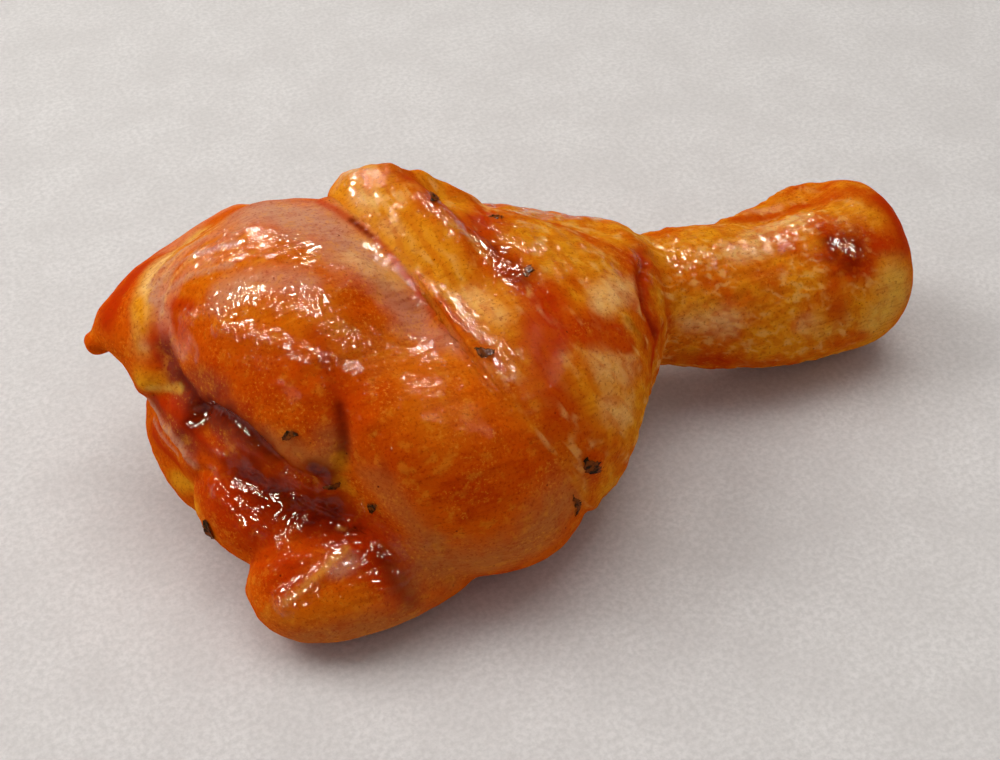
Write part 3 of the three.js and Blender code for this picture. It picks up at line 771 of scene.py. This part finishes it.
def flesh_material():
    t = Tree("marinated_flesh")
    mm = t.millimetres()
    over_skin = t.add(
        "ShaderNodeCombineXYZ", {"X": t.read("around_mm"), "Y": t.read("from_rim")}
    ).outputs[0]
    rows = t.add("ShaderNodeMapping", {"Vector": over_skin, "Scale": (1 / 3.0, 1 / 1.5, 1)}).outputs[0]

    base = t.add("ShaderNodeAttribute", attribute_name="tint").outputs["Color"]
    blotches = t.noise(mm, 2.2, 4.0, 0.65)
    grain = t.noise(mm, 0.45, 3.0, 0.6)
    fibres = t.noise(t.millimetres((6, 0.7, 0.7), (0, 0.2, 0.5)), 1.0, 3.0, 0.6)

    # The film lies thicker in some places, down to a grain's size.
    base = t.mix(t.between(blotches, 0.5, 0.7, 0, 0.3), base, paint("thick film"))
    bare = t.between(t.read("thick"), 0.1, 0.5, 1.0, 0.1)
    light = t.math("MULTIPLY", t.between(blotches, 0.48, 0.32, 0, 0.35), bare)
    base = t.mix(light, base, paint("thin film"))
    base = t.mix(t.between(fibres, 0.45, 0.7, 0, 0.3), base, paint("between fibres"))

    # Skin shows pale fat in rows, with the marinade between them.
    pale_rows = t.noise(rows, 1.0, 1.0, 0.5, 0.3)
    rowed = t.read("rowed")
    fatty = t.math("MULTIPLY", rowed, t.between(t.noise(mm, 5.0, 2.0, 0.5), 0.42, 0.6))
    fatty = t.math("MULTIPLY", fatty, bare)
    raised = t.math("MULTIPLY", t.between(pale_rows, 0.47, 0.68, 0, 0.5), fatty)
    sunk = t.math("MULTIPLY", t.between(pale_rows, 0.52, 0.34, 0, 0.4), rowed)
    base = t.mix(raised, base, paint("pale row"))
    base = t.mix(sunk, base, paint("between rows"))

    # Fine speckle of spice and oil, and dark specks.
    sprinkled = t.math("MULTIPLY", bare, t.between(t.noise(mm, 6.0, 2.0), 0.42, 0.62, 0.15, 1.0))
    light_grain = t.math("MULTIPLY", t.between(grain, 0.54, 0.7, 0.0, 0.45), sprinkled)
    base = t.mix(light_grain, base, paint("oil"))
    base = t.mix(t.between(grain, 0.46, 0.3, 0, 0.5), base, paint("spice"))
    specks = t.add("ShaderNodeTexVoronoi", {"Vector": mm, "Scale": 1 / 2.2, "Randomness": 1.0})
    ragged = t.math("ADD", specks.outputs["Distance"], t.math("MULTIPLY", grain, 0.12))
    speck = t.between(ragged, 0.1, 0.16, 0.9, 0)
    some = t.between(specks.outputs["Color"], 0.62, 0.7)
    base = t.mix(t.math("MULTIPLY", speck, some), base, paint("speck"))

    # The wet film: broad waves, and crinkles where it is uneven.
    ripples = t.noise(mm, 3.2, 1.0, 0.4, 0.3)
    glints = t.read("glints")
    clusters = t.between(t.noise(mm, 3.6, 1.0), 0.38, 0.54, 0.35, 1.0)
    crinkles = t.math("SINE", t.math("MULTIPLY", t.noise(mm, 2.6, 1.0, 0.6, 0.8), 32.0))
    rise = t.math("MULTIPLY", t.math("MAXIMUM", glints, 0.35), 0.075)
    crinkles = t.math("MULTIPLY", crinkles, rise)
    pooled = t.between(t.read("thick"), 0.6, 0.9)
    wet = t.math("MAXIMUM", t.math("MULTIPLY", glints, clusters), pooled)
    waves = t.add(
        "ShaderNodeBump", {"Strength": 0.25, "Distance": MM, "Height": ripples}
    ).outputs[0]
    film = t.add(
        "ShaderNodeBump", {"Strength": 1.0, "Distance": MM, "Height": crinkles, "Normal": waves}
    ).outputs[0]
    body = t.add(
        "ShaderNodeBump", {"Strength": 0.6, "Distance": 0.3 * MM, "Height": blotches}
    ).outputs[0]
    shader = t.add(
        "ShaderNodeBsdfPrincipled",
        {
            "Base Color": base,
            "Roughness": 0.5,
            "Specular IOR Level": 0.0,
            "IOR": 1.4,
            "Normal": body,
            "Subsurface Weight": 0.3,
            "Subsurface Radius": (2.2, 0.6, 0.2),
            "Subsurface Scale": MM,
            "Coat Weight": t.between(wet, 0.12, 0.4, 0.03, 1.0),
            "Coat Roughness": 0.03,
            "Coat IOR": 1.27,
            "Coat Normal": film,
        },
    )
    return t.finish(shader.outputs[0])


def finish_piece(piece, material):
    piece.data.materials.clear()
    piece.data.materials.append(material)
    for polygon in piece.data.polygons:
        polygon.use_smooth = True
    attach(piece, "root")


finish_piece(drumstick, flesh_material())
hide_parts("drumstick")


# Herb flakes --------------------------------------------------------------------------------------------

LEAF_ROWS = 15
LEAF_COLUMNS = 7
LEAF_THICKNESS = 0.1
LEAF_LIFT = 0.02  # above its bump
LEAF_TIP = 0.06  # where its outline is cut off at each end, as a share of its length
LEAF_TORN = 0.3  # how uneven its width is, as a share
LEAF_BEND = 0.25  # how far its line bends, as a share of its width
LEAF_CURL = 0.1  # how far its edges rise
LEAF_CRUMPLE = 0.06


def leaf(place, seed):
    """The two sides of one dried leaf, draped over its bump, as vertices and faces."""
    along, around, length, turn_degrees = place
    angle = math.radians(around)
    outwards = Vector((0, math.cos(angle), math.sin(angle)))
    middle = Vector((along * HALF_LENGTH, 0, AXIS_HEIGHT)) + Vector(CENTRING)
    centre, normal, _, _ = bare_form.ray_cast(middle + outwards * RAY_REACH, -outwards)
    lengthways = (Vector((1, 0, 0)) - normal * normal.x).normalized()
    sideways = normal.cross(lengthways)
    spin = math.radians(turn_degrees)
    forwards = lengthways * math.cos(spin) + sideways * math.sin(spin)
    across = normal.cross(forwards)
    wave = np.random.default_rng(seed).uniform(0, 6)
    points = []
    for side in (1, 0):
        rng = np.random.default_rng(seed)  # the same draws, so that both sides have one outline
        for i in range(LEAF_ROWS):
            s = i / (LEAF_ROWS - 1)
            within = min(max(s, LEAF_TIP), 1 - LEAF_TIP)
            half = 0.5 * length * FLAKE_SLENDER * math.sin(math.pi * within) ** 0.6
            half *= 1 + LEAF_TORN * rng.uniform(-1, 1)
            bend = LEAF_BEND * length * FLAKE_SLENDER * math.sin(4 * s + wave)
            for j in range(LEAF_COLUMNS):
                c = 2 * j / (LEAF_COLUMNS - 1) - 1
                curl = LEAF_CURL * c**2 * rng.uniform(0.2, 1) + LEAF_CRUMPLE * rng.uniform(-1, 1)
                start = centre + forwards * (length * (s - 0.5)) + across * (half * c + bend)
                hit, _, _, _ = bare_form.ray_cast(start + normal * 4, -normal)
                base = hit if hit is not None else start
                points.append(base + normal * (LEAF_LIFT + curl + side * LEAF_THICKNESS))
    count = LEAF_ROWS * LEAF_COLUMNS
    faces = []
    for i in range(LEAF_ROWS - 1):
        for j in range(LEAF_COLUMNS - 1):
            a = i * LEAF_COLUMNS + j
            quad = [a, a + LEAF_COLUMNS, a + LEAF_COLUMNS + 1, a + 1]
            faces.append(quad)
            faces.append([count + k for k in reversed(quad)])
    rim = list(range(LEAF_COLUMNS))
    rim += [(i + 1) * LEAF_COLUMNS - 1 for i in range(1, LEAF_ROWS)]
    rim += [count - 1 - j for j in range(1, LEAF_COLUMNS)]
    rim += [i * LEAF_COLUMNS for i in range(LEAF_ROWS - 2, 0, -1)]
    for k, first in enumerate(rim):
        second = rim[(k + 1) % len(rim)]
        faces.append([first, second, count + second, count + first])
    return points, faces


def herb_material():
    t = Tree("dried_herb")
    mm = t.millimetres()
    tone = t.noise(mm, 0.8, 3.0, 0.6)
    colour = t.mix(t.between(tone, 0.38, 0.6), srgb(38, 26, 8), srgb(122, 58, 16))
    bump = t.add("ShaderNodeBump", {"Strength": 0.7, "Distance": 0.1 * MM, "Height": tone}).outputs[0]
    shader = t.add(
        "ShaderNodeBsdfPrincipled",
        {
            "Base Color": colour,
            "Roughness": 0.6,
            "Specular IOR Level": 0.0,
            "Normal": bump,
            "Coat Weight": 0.2,
            "Coat Roughness": 0.08,
            "Coat IOR": 1.3,
            "Coat Normal": bump,
        },
    )
    return t.finish(shader.outputs[0])


vertices, faces = [], []
for number, place in enumerate(FLAKES):
    points, quads = leaf(place, number)
    faces += [[len(vertices) + k for k in quad] for quad in quads]
    vertices += [point * MM for point in points]
herb_mesh = bpy.data.meshes.new("herb_flakes")
herb_mesh.from_pydata(vertices, [], faces)
herbs = bpy.data.objects.new("herb_flakes", herb_mesh)
scene.collection.objects.link(herbs)
finish_piece(herbs, herb_material())


# The paper under it -------------------------------------------------------------------------------------


def paper_material():
    t = Tree("paper")
    mm = t.millimetres()
    grain = t.noise(mm, 0.9, 4.0, 0.65)
    cloud = t.noise(mm, 14.0, 3.0, 0.6)
    tone = t.mix(t.between(grain, 0.3, 0.7), srgb(198, 194, 191), srgb(216, 212, 209))
    tone = t.mix(t.between(cloud, 0.3, 0.7, 0, 0.35), tone, srgb(190, 185, 182))
    bump = t.add("ShaderNodeBump", {"Strength": 0.25, "Distance": 0.3 * MM, "Height": grain}).outputs[0]
    shader = t.add(
        "ShaderNodeBsdfPrincipled",
        {"Base Color": tone, "Roughness": 0.85, "Specular IOR Level": 0.1, "Normal": bump},
    )
    return t.finish(shader.outputs[0])


PAPER_SIZE = 3.0  # metres
PAPER_SQUARES = 40  # along each side
bpy.ops.mesh.primitive_grid_add(
    x_subdivisions=PAPER_SQUARES, y_subdivisions=PAPER_SQUARES, size=PAPER_SIZE
)
paper = bpy.context.object
paper.name = "paper"
paper.data.materials.append(paper_material())


# Light and camera ---------------------------------------------------------------------------------------

# Lengths from here on are in metres.
GLINT_DISTANCE = 0.8
GLINT_SIZE = (0.24, 0.06)
GLINT_COLOUR = (1.0, 0.92, 0.76)
ROOM_STRENGTH = 0.42


def area_light(name, place, size, power):
    """A rectangular light that faces the origin."""
    data = bpy.data.lights.new(name, "AREA")
    data.shape = "RECTANGLE"
    data.size, data.size_y = size
    data.energy = power
    light = bpy.data.objects.new(name, data)
    light.location = Vector(place)
    light.rotation_euler = (-light.location).to_track_quat("-Z", "Y").to_euler()
    scene.collection.objects.link(light)
    return light


# Broad lights give the shading and small ones the glints in the wet film.
for name, place, size, power in [
    ("broad_left", (-0.45, 0.3, 0.6), (0.45, 0.45), 3.2),
    ("broad_top", (0.05, 0.05, 0.8), (0.55, 0.55), 2.6),
]:
    area_light(name, place, size, power).visible_glossy = False
for name, turn_degrees, rise_degrees, power in [
    ("glint_top", 100, 84, 9.0),
    ("glint_back", 128, 42, 12.0),
    ("glint_far", 85, 34, 9.0),
    ("glint_right", 45, 46, 9.0),
    ("glint_over", -10, 66, 8.0),
    ("glint_front", -52, 54, 8.0),
    ("glint_left", 178, 34, 9.0),
    ("glint_low", -150, 28, 9.0),
]:
    turned, raised = math.radians(turn_degrees), math.radians(rise_degrees)
    flat = GLINT_DISTANCE * math.cos(raised)
    place = (flat * math.cos(turned), flat * math.sin(turned), GLINT_DISTANCE * math.sin(raised))
    glint = area_light(name, place, GLINT_SIZE, power)
    glint.data.color = GLINT_COLOUR
    glint.visible_diffuse = False

world = bpy.data.worlds.new("room")
world.use_nodes = True
background = world.node_tree.nodes["Background"]
background.inputs["Color"].default_value = srgb(225, 222, 222)
background.inputs["Strength"].default_value = ROOM_STRENGTH
world.cycles_visibility.glossy = False
scene.world = world
scene.view_settings.view_transform = "Standard"

AZIMUTH = -26.0
ELEVATION = 42.0
DISTANCE = 0.25
TARGET = Vector((-0.01166, -0.0061, 0.022))
turned, raised = math.radians(AZIMUTH), math.radians(ELEVATION)
flat = math.cos(raised)
back = Vector((math.sin(turned) * flat, -math.cos(turned) * flat, math.sin(raised)))
camera = bpy.data.objects.new("camera", bpy.data.cameras.new("camera"))
camera.data.lens = 60.0
camera.data.sensor_width = 36.0
camera.data.clip_start = 0.01
camera.location = TARGET + back * DISTANCE
camera.rotation_euler = back.to_track_quat("Z", "Y").to_euler()
scene.collection.objects.link(camera)
scene.camera = camera
